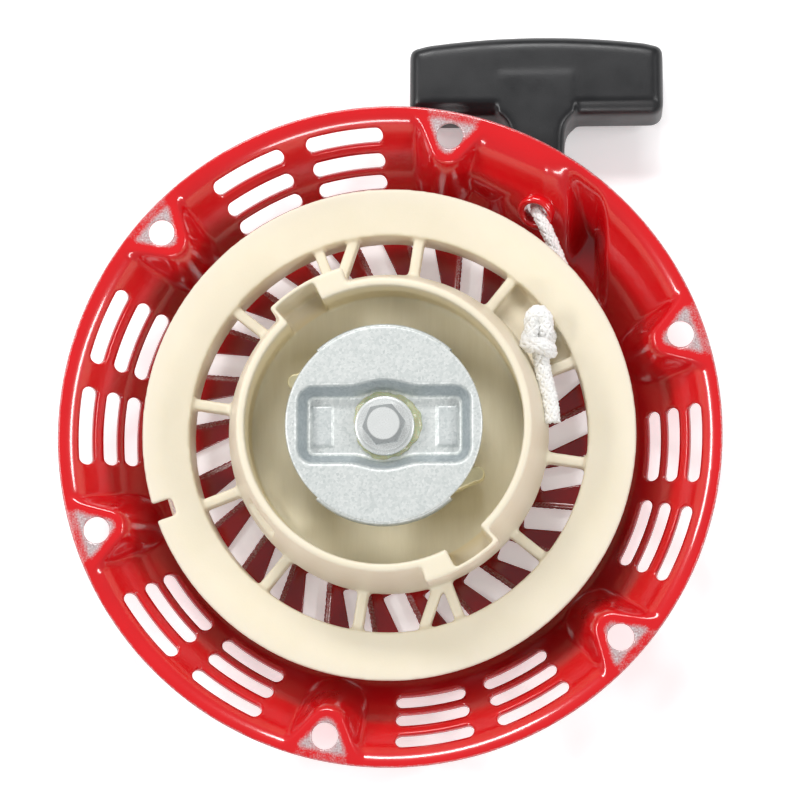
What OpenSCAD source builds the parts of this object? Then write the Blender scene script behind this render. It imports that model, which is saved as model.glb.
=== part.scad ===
// Recoil starter for a single-cylinder engine.
// +Z points to the engine, the origin is the centre of the bolt circle on the flange face,
// and the pull rope leaves towards +Y.

/* [Case] */
// Diameter over the flange of the case
flange_d = 227; // [222:1:270]
// Diameter of the circle of mounting holes
pcd = 210; // [206:1:214]
// Diameter of each mounting hole
bolt_hole_d = 9; // [6:0.5:11]
// Angle of the first mounting hole
first_hole_a = 18.3; // [17:0.1:20]
// Thickness of the pressed steel sheet
sheet_t = 1.5; // [1:0.1:2]
// Depth of the case inside, from flange to face
case_depth = 30.5; // [30.5:0.5:40]
// Width of the flat lip inside the flange edge
lip_w = 5.5; // [4:0.5:7]
// Diameter inside the case where the wall meets the face
face_d = 164; // [156:1:168]
// Width of a vent slot
slot_w = 4.6; // [3:0.1:5]
// Number of louvre slots in the face
louvre_count = 24; // [12:1:28]
// Width of a louvre slot
louvre_w = 8; // [5:0.5:9]

/* [Rope guide] */
// Distance from the bolt circle centre to the rope, along X
guide_x = 51; // [48:1:53]
// Distance from the bolt circle centre to the eyelet, along Y
guide_y = 79; // [77:0.5:80]
// Height of the eyelet centre
guide_z = -15.5; // [-17:0.5:-15]
// Diameter of the hole through the eyelet
eyelet_bore_d = 8; // [7.5:0.5:9]
// Diameter of the rope
rope_d = 5; // [3.5:0.1:5.2]

/* [Reel] */
// Diameter over the rope flanges of the reel
reel_d = 168.8; // [160:0.2:178]
// Diameter at the bottom of the rope groove
groove_d = 139; // [137:1:140]
// Width of the rope groove
groove_w = 13; // [11:0.5:13]
// Thickness of each rope flange
reel_flange_t = 3; // [2:0.5:4]
// Number of spokes
spoke_count = 12; // [8:1:16]
// Width of a spoke
spoke_w = 3.6; // [2:0.1:5]
// Diameter inside the hub ring that the starter cup enters
ring_d = 93.2; // [88:0.2:98]
// Height of the hub ring above the flange face
ring_h = 25; // [22:0.5:32]
// Wall thickness of the mouldings
wall = 2.5; // [2:0.1:3]

/* [Ratchet] */
// Diameter of the centre post
post_d = 17; // [14:0.5:18]
// Diameter of the friction plate
plate_d = 66; // [62:1:69]
// Depth of the recess pressed in the friction plate
recess_h = 7; // [6:0.5:7.5]
// Height of the top of the friction plate
plate_z = 24; // [23.5:0.5:26]
// Thickness of a pawl
pawl_t = 7.5; // [5:0.5:8]
// Diameter of the post that a pawl turns on
pawl_post_d = 7; // [5:0.5:8]
// Size of the bolt head across its flats
bolt_af = 12; // [10:1:13]

/* [Recoil spring] */
// Height of the spring strip
strip_h = 12; // [8:0.5:12.5]
// Thickness of the spring strip
strip_t = 0.8; // [0.4:0.1:1.2]
// Number of turns of the spring at rest
strip_turns = 8; // [4:1:9]

/* [Grip] */
// Length of the grip bar
bar_l = 88; // [75:1:105]
// Depth of the grip bar along the rope
bar_w = 29; // [27:1:34]
// Thickness of the grip bar
bar_t = 22; // [20:1:23]
// Width of the grip stem
stem_w = 18; // [14:1:19]
// Distance from the bolt circle centre to the middle of the bar, along Y
bar_y = 126; // [124:1:135]
// Slope of the grip down from the rope
grip_tilt = 4; // [0:1:6]

/* [Hidden] */
$fn = 64;

// Clearances
running_gap = 0.06;   // radial, between parts that turn on each other
free_gap = 0.4;       // between parts that pass each other
eps = 0.5;            // how far a cutter runs past a face

// Case
flange_r = flange_d / 2;
wall_top_r = flange_r - lip_w;
face_r = face_d / 2;
wall_slope = atan(case_depth / (wall_top_r - face_r));
wall_shift = sheet_t / sin(wall_slope);
wall_drop = sheet_t / tan(wall_slope);
hole_count = 6;
hole_pitch = 360 / hole_count;
guide_sector = 0;                 // the sector that has the eyelet and no slots
seam_a = first_hole_a + 1.5 * hole_pitch;   // where the revolved shell starts, clear of cuts
land_t = sheet_t + 0.1;           // the press leaves the lands a little thicker
land_tip_r = 4.5;                 // rounding of a land's tip
land_half_a = 33;                 // half the angle of a land
land_lean = 18;                   // lean of the wall round a land
land_c = pcd / 2 - 3.5;           // where the tip rounding is centred
slot_rows = [for (f = [0.14, 0.42, 0.66]) wall_top_r - f * (wall_top_r - face_r)];
slot_span = 16.5 - 4.2;           // angle between a slot's end centres
slot_cols = [20.3, 39.7];         // angle from a hole to each column
louvre_r0 = 53;
louvre_r1 = 76;
louvre_slant = 25;
face_top = -case_depth;
face_bottom = -case_depth - sheet_t;

// Rope guide: the eyelet sits square in a flat that slopes down towards +Y
guide = [guide_x, guide_y, guide_z];
flat_slope = 40;
flat_half_w = 13;
eyelet_wall = 1.2;
eyelet_r = eyelet_bore_d / 2 + eyelet_wall;
rope_r = rope_d / 2;

// Reel
reel_r = reel_d / 2;
low_flange_r = reel_r - 4;        // the lower flange passes inside the rope guide
groove_r = groove_d / 2;
window_r1 = groove_r - 1.5;
groove_z1 = -reel_flange_t;
groove_z0 = groove_z1 - groove_w;
reel_z0 = groove_z0 - reel_flange_t;
groove_mid = (groove_z0 + groove_z1) / 2;
ring_ir = ring_d / 2;
ring_top_r = ring_ir + 2.6;
ring_base_r = ring_ir + 8.1;
floor_top = 1;
floor_t = 2.5;
spoke_z0 = -10;
spoke_z1 = -1.5;
first_spoke_a = 21;
spoke_pitch = 360 / spoke_count;
spring_wall_r = ring_ir - 3.1;
pocket_a0 = 116.3;
pocket_a1 = 133;
pocket_r = ring_ir + 6.8;
pocket_wall = 1.4;
block_a = 11.5;
sleeve_z0 = -14;
sleeve_top = 11;

// Ratchet
post_r = post_d / 2;
sleeve_bore_r = post_r + running_gap;
sleeve_r = post_r + 5.5;
plate_r = plate_d / 2;
plate_t = 1.5;
recess_floor = plate_z - recess_h;
plate_bore_r = 6 + running_gap;
spigot_r = 6;
spigot_top = recess_floor + 0.3;
spigot_z = recess_floor - plate_t - 0.5;
pawl_z = 6;
pawl_pivot = [-6, 23.5];
pawl_nose = [-30.6, 15.8];
pawl_eye_r = pawl_post_d / 2 + 2.5;
pawl_nose_r = 2.6;
pawl_post_r = pawl_post_d / 2;
pawl_seat_z = pawl_z - free_gap;
thread_r = 4;
washer_r = 10;
washer_t = 2;
head_flange_r = 8.6;
head_flange_t = 1.4;
head_h = 6.2;
washer_z = spigot_top;
head_z = washer_z + washer_t;
post_plate_r = 36;
post_plate_top = face_top + sheet_t;

// Recoil spring
strip_z0 = post_plate_top + 2;
strip_r0 = post_r + 1.3;
strip_r1 = spring_wall_r - wall - 1.2;

// Rope
coil_r0 = groove_r + 0.1;
coil_r1 = groove_r + 4.1;
lead_r = coil_r1 + rope_r + 0.35;
guide_r = norm([guide_x, guide_y]);
lead_a = atan2(guide_y, guide_x) - acos(lead_r / guide_r);
knot_at = [51.5, 33.5, 4.6];
knot_r = 5.9;

// Grip
bar_at = [guide_x, bar_y, -19.8];
bar_round = 6;
bar_crown = 3.5;
stem_t = 17;
stem_end = -bar_w / 2 - 18;
nose_end = stem_end - 4.5;
grip_bore_r = rope_r + 0.7;
pocket_depth = 13;
grip_pocket_r = 8;
grip_washer_t = 1.2;

// Route of the rope through the eyelet, and on to the grip
lead_points = [
    lead_r * [cos(lead_a), sin(lead_a), 0] + [0, 0, -9.6],
    [68.6, 34.5, -10], [65.8, 42, -10.6], [63, 49.4, -11.2], [60.2, 56.8, -11.8],
    [57.4, 64.2, -12.4], [54.8, 70.6, -12.9], [52.8, 75, -13.4], [51.6, 77.5, -14.3],
    [51, 79.1, -15.8], [51, 80.4, -17.3], [51, 81.6, -18.7]
];
outer_points = [
    [51, 82.6, -19.35], [51, 83.4, -19.7], [51, 85.6, -18.8], [51, 87.8, -17.4],
    [51, 91, -17.3], [51, 100, -17.9], [51, 110, -18.6], [51, 120, -19.3], [51, 127.6, -19.8]
];
tail_points = [
    [52.3, 25.6, 4.6], [52.7, 22, 4.4], [53.5, 18, 3.9], [54.7, 14, 3.6],
    [55.6, 10, 3.5], [56.2, 6, 3.4], [56.4, 2.6, 3.3]
];

// ---- helpers ----

function ring_of(c, t, r, sides) =
    let (u = cross(t, [0, 0, 1]), n = u / norm(u), b = cross(n, t))
    [for (i = [0 : sides - 1]) c + r * cos(360 * i / sides) * n + r * sin(360 * i / sides) * b];

function heading(p, i) =
    let (d = p[min(i + 1, len(p) - 1)] - p[max(i - 1, 0)]) d / norm(d);

// Round tube swept along a list of points
module tube(p, r, sides = 10) {
    n = len(p);
    skin = [for (i = [0 : n - 1]) each ring_of(p[i], heading(p, i), r, sides)];
    sides_faces = [for (i = [0 : n - 2]) for (j = [0 : sides - 1])
        [i * sides + j, i * sides + (j + 1) % sides,
         (i + 1) * sides + (j + 1) % sides, (i + 1) * sides + j]];
    start = [for (j = [sides - 1 : -1 : 0]) j];
    end = [for (j = [0 : sides - 1]) (n - 1) * sides + j];
    polyhedron(points = skin, faces = concat(sides_faces, [start, end]), convexity = 6);
}

// Ring with a rectangular section
module band(r0, r1, z0, z1) {
    difference() {
        translate([0, 0, z0]) cylinder(r = r1, h = z1 - z0);
        translate([0, 0, z0 - eps]) cylinder(r = r0, h = z1 - z0 + 2 * eps);
    }
}

// Part of such a ring, from angle a0 to angle a1
module sector(r0, r1, z0, z1, a0, a1) {
    rotate([0, 0, a0]) rotate_extrude(angle = a1 - a0)
        translate([r0, z0]) square([r1 - r0, z1 - z0]);
}

// Slot that follows a circle, cut straight through the case; its round ends are a little
// narrower than its sides, so that no two faces are tangent
module arc_slot(r, w, span) {
    z0 = face_bottom - eps;
    sector(r - w / 2, r + w / 2, z0, -0.3, -span / 2, span / 2);
    for (s = [-1, 1]) rotate([0, 0, s * span / 2]) translate([r, 0, z0])
        rotate([0, 0, -90 * s]) cylinder(d = w - 0.3, h = -z0 - 0.3, $fn = 24);
}

// Outline of a mounting land, with its tip rounded and its sides spreading outwards
function land_outline(r) =
    let (reach = 60, steps = 8, span = 180 - 2 * land_half_a,
         side = r * [-sin(land_half_a), cos(land_half_a)],
         far = side + reach * [cos(land_half_a), sin(land_half_a)])
    concat([[far[0], far[1]]],
           [for (i = [0 : steps]) let (a = 90 + land_half_a + span * i / steps)
               r * [cos(a), sin(a)]],
           [[far[0], -far[1]]]);

// Space below a mounting land; grow moves its walls outwards
module land_space(grow, top) {
    intersection() {
        translate([land_c, 0, 0]) rotate([0, land_lean, 0]) translate([0, 0, -60])
            linear_extrude(80) polygon(land_outline(land_tip_r + grow));
        translate([0, -60, -60]) cube([200, 120, 60 + top]);
    }
}

// Space outside the flat that holds the eyelet; shift moves the flat inwards
module guide_space(shift, top) {
    half = flat_half_w + shift;
    intersection() {
        translate(guide) rotate([flat_slope, 0, 0])
            translate([-half, -60, -60]) cube([2 * half, 120, 60 + shift]);
        translate([0, 0, -60]) cube([200, 200, 60 + top]);
    }
}

module around_holes() {
    for (i = [0 : hole_count - 1]) rotate([0, 0, first_hole_a + i * hole_pitch]) children();
}

// Places a piece of the grip: local +Y runs out along the rope
module grip_frame() {
    translate(bar_at) rotate([-grip_tilt, 0, 0]) children();
}

// ---- case and centre post ----

module case() color("#d81e26") {
    difference() {
        difference() {
            rotate([0, 0, seam_a]) rotate_extrude($fn = 96) polygon([
                [0, face_bottom], [face_r + wall_shift - wall_drop, face_bottom],
                [wall_top_r + wall_shift - wall_drop, -sheet_t],
                [flange_r, -sheet_t], [flange_r, 0], [0, 0]]);
            around_holes() land_space(0, -land_t);
            guide_space(0, -land_t);
        }
        difference() {
            rotate([0, 0, seam_a]) rotate_extrude($fn = 96) polygon([
                [0, face_top], [face_r, face_top], [wall_top_r, 0], [wall_top_r, eps], [0, eps]]);
            around_holes() land_space(sheet_t, 2 * eps);
            guide_space(sheet_t, 2 * eps);
        }
        around_holes() translate([pcd / 2, 0, -5]) cylinder(d = bolt_hole_d, h = 10);
        for (i = [0 : hole_count - 1]) if (i != guide_sector)
            for (a = slot_cols, r = slot_rows)
                rotate([0, 0, first_hole_a + i * hole_pitch + a]) arc_slot(r, slot_w, slot_span);
        for (i = [0 : louvre_count - 1]) rotate([0, 0, i * 360 / louvre_count])
            translate([louvre_r0, 0, face_bottom - eps]) rotate([0, 0, louvre_slant])
                translate([0, -louvre_w / 2, 0])
                    cube([louvre_r1 - louvre_r0, louvre_w, sheet_t + 2 * eps]);
        translate(guide) rotate([flat_slope - 180, 0, 0])
            translate([0, 0, -10]) cylinder(r = eyelet_r, h = 20);
        translate([0, 0, face_bottom - eps]) cylinder(r = spigot_r, h = sheet_t + 2 * eps);
    }
}

// Rolled bush in the flat, with a bead on each side
module rope_eyelet() color("#c01a20") {
    translate(guide) rotate([flat_slope, 0, 0]) rotate_extrude() difference() {
        union() {
            translate([eyelet_r - eyelet_wall, -3]) square([eyelet_wall, 6]);
            translate([eyelet_r, 0.5 + sheet_t]) translate([-eyelet_wall, 0]) square([2.4, 1.2]);
            translate([eyelet_r - eyelet_wall, -3]) square([2.4, 1.2]);
        }
    }
}

module post_plate() color("#b9bcc0") {
    difference() {
        translate([0, 0, face_top]) cylinder(r = post_plate_r, h = sheet_t);
        translate([0, 0, face_top - eps]) cylinder(r = spigot_r, h = sheet_t + 2 * eps);
    }
}

module center_post() color("#a9adb2") {
    slot_h = strip_h + 2;
    difference() {
        union() {
            translate([0, 0, face_bottom]) cylinder(r = spigot_r, h = 2 * sheet_t);
            translate([0, 0, post_plate_top]) cylinder(r = post_r, h = spigot_z - post_plate_top);
            translate([0, 0, spigot_z]) cylinder(r = spigot_r, h = spigot_top - spigot_z);
        }
        translate([0, 0, -14]) cylinder(r = thread_r, h = 60);
        translate([post_r - 2.5, -1, strip_z0 - 1]) cube([5, 2, slot_h]);
    }
}

module bolt_washer() color("#c9ccc8") {
    band(thread_r + 0.2, washer_r, washer_z, washer_z + washer_t);
}

module center_bolt() color("#d5d7d6") {
    chamfer = 1.2;
    across = bolt_af / cos(30);
    translate([0, 0, -10]) cylinder(r = thread_r - 0.05, h = head_z + 10);
    translate([0, 0, head_z]) cylinder(r = head_flange_r, h = head_flange_t);
    intersection() {
        translate([0, 0, head_z]) rotate([0, 0, 8]) cylinder(d = across, h = head_h, $fn = 6);
        union() {
            translate([0, 0, head_z]) cylinder(d = across, h = head_h - chamfer);
            translate([0, 0, head_z + head_h - chamfer])
                cylinder(d1 = across, d2 = bolt_af - 0.6, h = chamfer);
        }
    }
}

// ---- reel ----

module pawl_places() {
    for (s = [0, 180]) rotate([0, 0, s]) translate([pawl_pivot[0], pawl_pivot[1], 0]) children();
}

// The reel is one moulding; it is made as its hub, its spokes and its rope rim
module reel_hub() color("#efe3c8") {
    rib_count = 6;
    difference() {
        union() {
            rotate_extrude($fn = 96) polygon([
                [spring_wall_r - 0.5, -4], [ring_base_r, -4], [ring_base_r, spoke_z1],
                [ring_top_r, ring_h], [ring_ir, ring_h], [ring_ir, floor_top],
                [spring_wall_r - 0.5, floor_top]]);
            band(ring_base_r - wall, ring_base_r, spoke_z0, spoke_z1);
            band(sleeve_bore_r, ring_ir, floor_top - floor_t, floor_top);
            band(spring_wall_r - wall, spring_wall_r, strip_z0 - 1, floor_top);
            band(sleeve_bore_r, sleeve_r, sleeve_z0, sleeve_top);
            for (i = [0 : rib_count - 1]) rotate([0, 0, i * 360 / rib_count])
                translate([sleeve_r - 1, -1, sleeve_z0])
                    cube([spring_wall_r - wall - sleeve_r + 2, 2, floor_top - sleeve_z0 - 1]);
            for (s = [0, 180]) rotate([0, 0, s])
                sector(ring_ir, pocket_r + pocket_wall, floor_top - floor_t, ring_h,
                       pocket_a0 - block_a, pocket_a1 + 1.5);
            pawl_places() {
                translate([0, 0, floor_top - 1]) cylinder(r = pawl_post_r, h = pawl_z + pawl_t);
                translate([0, 0, floor_top - 1])
                    cylinder(r = pawl_post_r + 0.8, h = pawl_seat_z - floor_top + 1);
            }
        }
        for (s = [0, 180]) rotate([0, 0, s])
            sector(ring_ir - 2, pocket_r, floor_top, ring_h + eps, pocket_a0, pocket_a1);
        sector(ring_ir - 1, ring_base_r + 1, 5, 15, 208, 223);
        rotate([0, 0, 90]) translate([spring_wall_r - wall - 1, -1.5, strip_z0 - 2])
            cube([wall + 2, 3, strip_h - 3]);
    }
}

module reel_spokes() color("#efe3c8") {
    intersection() {
        band(ring_base_r, window_r1, spoke_z0, spoke_z1);
        union() {
            for (i = [0 : spoke_count - 1]) rotate([0, 0, first_spoke_a + i * spoke_pitch])
                translate([ring_base_r - 1, -spoke_w / 2, spoke_z0 - 1])
                    cube([window_r1 - ring_base_r + 2, spoke_w, spoke_z1 - spoke_z0 + 2]);
            sector(ring_base_r - 1, window_r1 + 1, spoke_z0 - 1, spoke_z0 + 2,
                   first_spoke_a, first_spoke_a + spoke_pitch);
            for (s = [0, 180]) rotate([0, 0, s])
                translate((pocket_r + 1) * [cos(pocket_a0 - 8), sin(pocket_a0 - 8), 0])
                    rotate([0, 0, pocket_a0 - 45]) translate([0, -spoke_w / 2, spoke_z0 - 1])
                        cube([16, spoke_w, spoke_z1 - spoke_z0 + 2]);
        }
    }
}

module reel_rim() color("#efe3c8") {
    difference() {
        rotate_extrude($fn = 96) polygon([
            [window_r1, reel_z0], [low_flange_r, reel_z0], [low_flange_r, groove_z0],
            [groove_r, groove_z0], [groove_r, groove_z1], [reel_r, groove_z1], [reel_r, 0],
            [window_r1, 0]]);
        rotate([0, 0, 198.7]) translate([reel_r - 7, -3, groove_z1 - eps])
            cube([10, 6, reel_flange_t + 2 * eps]);
        rotate([0, 0, first_spoke_a + spoke_pitch / 2])
            translate([window_r1 - 2, 0, (spoke_z0 + groove_z1) / 2])
                rotate([0, 90, 0]) cylinder(r = rope_r + 0.3, h = 6);
    }
}

// ---- recoil spring ----

function spiral(r_shift, n) = [for (i = [0 : n])
    let (f = i / n, r = strip_r0 + f * (strip_r1 - strip_r0) + r_shift, a = 360 * strip_turns * f)
    r * [cos(a), sin(a)]];

module recoil_spring() color("#5f666e") {
    n = 24 * strip_turns;
    inner = spiral(0, n);
    outer = spiral(strip_t, n);
    translate([0, 0, strip_z0]) linear_extrude(strip_h)
        polygon(concat(inner, [for (i = [n : -1 : 0]) outer[i]]));
}

// ---- pawls and friction plate ----

module pawl_body() {
    reach = pawl_nose - pawl_pivot;
    length = norm(reach);
    difference() {
        rotate([0, 0, atan2(reach[1], reach[0])]) union() {
            cylinder(r = pawl_eye_r, h = pawl_t);
            translate([length, 0, 0]) cylinder(r = pawl_nose_r, h = pawl_t, $fn = 32);
            linear_extrude(pawl_t) polygon([
                [0, pawl_eye_r - 0.6], [length + 1.5, pawl_nose_r - 0.5],
                [length + 1.5, 0.5 - pawl_nose_r], [0, 0.6 - pawl_eye_r]]);
        }
        translate([0, 0, -eps]) cylinder(r = pawl_post_r + running_gap, h = pawl_t + 2 * eps);
    }
}

module pawl_a() color("#d9d2ae") {
    translate([pawl_pivot[0], pawl_pivot[1], pawl_z]) pawl_body();
}

module pawl_b() color("#d9d2ae") {
    rotate([0, 0, 180]) translate([pawl_pivot[0], pawl_pivot[1], pawl_z]) pawl_body();
}

module return_spring() {
    wire_r = 0.5;
    coil_r = pawl_post_r + 0.8 + wire_r + 0.2;
    turns = 3;
    steps = 16 * turns;
    coil = [for (i = [0 : steps]) [coil_r * cos(360 * turns * i / steps),
        coil_r * sin(360 * turns * i / steps), floor_top + 0.8 + 3 * i / steps]];
    translate([pawl_pivot[0], pawl_pivot[1], 0])
        tube(concat([[coil_r + 0.6, -7, floor_top + 0.8], [coil_r + 0.1, -3.5, floor_top + 0.8]],
                    coil, [[coil_r, 4, floor_top + 3.8], [coil_r - 0.3, 7, floor_top + 3.8]]),
             wire_r, 6);
}

module pawl_spring_a() color("#9aa0a6") return_spring();

module pawl_spring_b() color("#9aa0a6") rotate([0, 0, 180]) return_spring();

module friction_plate() color("#cfd4cf") {
    top_l = 58;
    top_w = 26;
    floor_l = 50;
    floor_w = 18;
    lip_h = 6;
    tab_a = 165;
    difference() {
        union() {
            translate([0, 0, plate_z - plate_t]) cylinder(r = plate_r, h = plate_t);
            for (s = [0, 180]) rotate([0, 0, s])
                sector(plate_r - 0.8, plate_r + 0.8, plate_z - lip_h, plate_z, 48, 132);
            hull() {
                translate([-top_l / 2, -top_w / 2, plate_z - plate_t]) cube([top_l, top_w, plate_t]);
                translate([-floor_l / 2 - 1, -floor_w / 2 - 1, recess_floor - plate_t])
                    cube([floor_l + 2, floor_w + 2, plate_t]);
            }
            translate([0, 0, recess_floor - plate_t]) cylinder(r1 = 13, r2 = 16, h = recess_h);
            for (s = [0, 180]) rotate([0, 0, s])
                sector(21.5, 24.5, pawl_z + 0.5, recess_floor - 0.5, tab_a, tab_a + 7);
        }
        hull() {
            translate([1 - top_l / 2, 1 - top_w / 2, plate_z]) cube([top_l - 2, top_w - 2, eps]);
            translate([-floor_l / 2, -floor_w / 2, recess_floor]) cube([floor_l, floor_w, eps]);
        }
        translate([0, 0, recess_floor]) cylinder(r1 = 11.5, r2 = 15, h = recess_h + eps);
        translate([0, 0, recess_floor - plate_t - eps])
            cylinder(r = plate_bore_r, h = plate_t + 2 * eps);
    }
}

module friction_spring() color("#8f959b") {
    wire_r = 0.7;
    coil_r = post_r + 2.2;
    turns = 2;
    steps = 24 * turns;
    z0 = sleeve_top + wire_r + 0.3;
    rise = recess_floor - plate_t - wire_r - 0.3 - z0;
    tube([for (i = [0 : steps]) [coil_r * cos(360 * turns * i / steps),
        coil_r * sin(360 * turns * i / steps), z0 + rise * i / steps]], wire_r, 8);
}

// ---- rope ----

module rope_coil() color("#f2f1ec") {
    edge = 1.6;
    rotate_extrude($fn = 96) translate([coil_r0, groove_mid - groove_w / 2 + edge])
        square([coil_r1 - coil_r0, groove_w - 2 * edge]);
}

module rope_knot() color("#f2f1ec") {
    translate(knot_at) {
        sphere(r = knot_r, $fn = 48);
        translate([0.9, -6.2, 0]) rotate([90, 0, 0]) rotate_extrude($fn = 48)
            translate([rope_r + 0.9, 0]) circle(r = rope_r - 0.6, $fn = 24);
        translate([0.8, -7.8, 0]) rotate([-90, 0, 0]) cylinder(r = rope_r, h = 7);
    }
}

module rope_tail() color("#f2f1ec") tube(tail_points, rope_r);

module rope_lead() color("#f2f1ec") tube(lead_points, rope_r);

module rope_outer() color("#f2f1ec") tube(outer_points, rope_r);

module rope_grip_knot() color("#f2f1ec") {
    grip_frame() translate([0, bar_w / 2 - 5.6, 0]) sphere(r = 5.4, $fn = 48);
}

// ---- grip ----

module grip_washer() color("#b9bcc0") {
    grip_frame() translate([0, bar_w / 2 - pocket_depth, 0]) rotate([-90, 0, 0])
        band(grip_bore_r, grip_pocket_r - 0.4, 0, grip_washer_t);
}

module bar_corner(x, y) {
    for (s = [-1, 1]) translate([x, y, s * (bar_t / 2 - bar_round)])
        sphere(r = bar_round, $fn = 24);
}

module grip() color("#26272a") {
    end_x = bar_l / 2 - bar_round;
    low_y = bar_round - bar_w / 2;
    high_y = bar_w / 2 - bar_round;
    grip_frame() difference() {
        union() {
            hull() {
                for (s = [-1, 1]) {
                    bar_corner(s * end_x, low_y);
                    bar_corner(s * (end_x - 1), high_y - bar_crown);
                }
                bar_corner(0, high_y);
            }
            hull() for (x = [-1, 1], z = [-1, 1])
                translate([x * (stem_w / 2 - 4), stem_end, z * (stem_t / 2 - 4)])
                    rotate([-90, 0, 0]) cylinder(r = 4, h = -stem_end, $fn = 32);
            translate([0, nose_end, 0]) rotate([-90, 0, 0])
                cylinder(r1 = 5.5, r2 = stem_t / 2, h = stem_end - nose_end + 0.01);
        }
        translate([0, nose_end - eps, 0]) rotate([-90, 0, 0])
            cylinder(r = grip_bore_r, h = bar_w - nose_end);
        translate([0, bar_w / 2 - pocket_depth, 0]) rotate([-90, 0, 0])
            cylinder(r = grip_pocket_r, h = pocket_depth + bar_crown);
    }
}

case();
rope_eyelet();
post_plate();
center_post();
reel_hub();
reel_spokes();
reel_rim();
recoil_spring();
pawl_a();
pawl_b();
pawl_spring_a();
pawl_spring_b();
friction_plate();
friction_spring();
bolt_washer();
center_bolt();
rope_coil();
rope_knot();
rope_tail();
rope_lead();
rope_outer();
rope_grip_knot();
grip_washer();
grip();
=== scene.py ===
# %% [markdown]
# # A recoil starter, piece by piece
# The frame holds the exact parts and their joints. Each cell below turns one of them into the
# thing that a hand would touch: pressed and enamelled steel, moulded nylon, plated fasteners
# and braided cord. Everything is in metres, in the frame's own axes: +Z faces the engine and
# the rope leaves towards +Y.

# %% Load the frame
import math
import bpy
import bmesh
import numpy as np
from mathutils import Matrix, Vector


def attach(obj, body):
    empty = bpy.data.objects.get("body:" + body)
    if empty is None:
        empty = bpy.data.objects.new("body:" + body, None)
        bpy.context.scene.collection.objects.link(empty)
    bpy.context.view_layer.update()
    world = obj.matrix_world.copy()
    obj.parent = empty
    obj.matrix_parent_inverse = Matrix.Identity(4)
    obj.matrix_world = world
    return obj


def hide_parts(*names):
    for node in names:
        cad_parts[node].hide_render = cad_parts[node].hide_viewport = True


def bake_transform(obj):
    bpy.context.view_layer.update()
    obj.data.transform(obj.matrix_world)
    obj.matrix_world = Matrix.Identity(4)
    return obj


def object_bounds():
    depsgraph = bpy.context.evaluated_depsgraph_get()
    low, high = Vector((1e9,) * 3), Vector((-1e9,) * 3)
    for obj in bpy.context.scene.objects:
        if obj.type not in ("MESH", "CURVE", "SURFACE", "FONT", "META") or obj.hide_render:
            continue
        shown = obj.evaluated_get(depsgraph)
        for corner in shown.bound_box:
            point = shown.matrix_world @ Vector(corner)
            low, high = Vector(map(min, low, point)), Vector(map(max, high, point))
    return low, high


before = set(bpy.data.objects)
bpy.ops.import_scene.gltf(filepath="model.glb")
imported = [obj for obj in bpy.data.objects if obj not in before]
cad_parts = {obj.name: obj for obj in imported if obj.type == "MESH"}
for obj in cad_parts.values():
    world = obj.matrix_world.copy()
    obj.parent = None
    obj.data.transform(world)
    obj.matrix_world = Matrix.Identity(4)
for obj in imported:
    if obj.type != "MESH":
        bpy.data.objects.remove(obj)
cad_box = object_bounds()
MM = 0.001


# %% [markdown]
# ## Camera and light
# The starter lies on its back on a pale table, and the camera looks down on it from one
# metre, a few degrees from below, so that the depth of the case shows on one side. Four long
# windows stand low round the table. A light overhead would mirror in every flat face and
# wash it out. Low ones only catch the bends, which draws the bright lines along the enamel.

# %% Camera
def to_point(thing, spot):
    back = (thing.location - Vector(spot)).normalized()
    right = Vector((0, 1, 0)).cross(back).normalized()
    axes = Matrix((right, back.cross(right), back)).transposed()
    thing.rotation_euler = axes.to_euler()


view_centre = Vector((4.1, 11.0, 0)) * MM
view_way = Vector((0.057, -0.128, 0.99)).normalized()
view_width = 272.8 * MM
view_distance = 1.0
camera_data = bpy.data.cameras.new("camera")
camera = bpy.data.objects.new("camera", camera_data)
bpy.context.scene.collection.objects.link(camera)
camera.location = view_centre + view_distance * view_way
to_point(camera, view_centre)
camera_data.lens = camera_data.sensor_width * view_distance / view_width
bpy.context.scene.camera = camera
print("lens", round(camera_data.lens, 1), "mm")


# %% Lights, sky and table
def add_area(name, place, size, power):
    data = bpy.data.lights.new(name, "AREA")
    data.shape = "RECTANGLE"
    data.size, data.size_y = size
    data.energy = power
    lamp = bpy.data.objects.new(name, data)
    bpy.context.scene.collection.objects.link(lamp)
    lamp.location = place
    to_point(lamp, (0, 0, 0))


add_area("far_window", (-0.15, 1.0, 0.95), (0.8, 0.2), 10)
add_area("left_window", (-1.0, 0.1, 0.9), (0.16, 0.8), 8)
add_area("right_window", (1.0, 0.0, 0.85), (0.16, 0.7), 6)
add_area("near_window", (0.1, -1.1, 0.85), (0.7, 0.14), 4.2)
bpy.context.scene.view_settings.view_transform = "Standard"
sky = bpy.data.worlds.new("sky")
sky.use_nodes = True
sky.node_tree.nodes["Background"].inputs["Color"].default_value = (0.95, 0.97, 1, 1)
sky.node_tree.nodes["Background"].inputs["Strength"].default_value = 0.28
bpy.context.scene.world = sky


# %% [markdown]
# ## Tools for shapes
# Three builders make nearly everything. `pressed` forms a sheet from a height for each point,
# as a press does. `moulded` takes the exact solids of a moulding, joins them and rounds their
# corners, as the melt does in a mould. `braid` lays strands over and under each other along
# a route.

# %% New piece
def new_piece(name, points, faces, smooth=True):
    mesh = bpy.data.meshes.new(name)
    mesh.from_pydata([tuple(p) for p in points], [], [tuple(f) for f in faces])
    mesh.update()
    mesh.polygons.foreach_set("use_smooth", [smooth] * len(mesh.polygons))
    piece = bpy.data.objects.new(name, mesh)
    bpy.context.scene.collection.objects.link(piece)
    return piece


def apply_modifiers(piece):
    graph = bpy.context.evaluated_depsgraph_get()
    mesh = bpy.data.meshes.new_from_object(piece.evaluated_get(graph))
    piece.modifiers.clear()
    piece.data = mesh
    mesh.polygons.foreach_set("use_smooth", [True] * len(mesh.polygons))
    return piece


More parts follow.
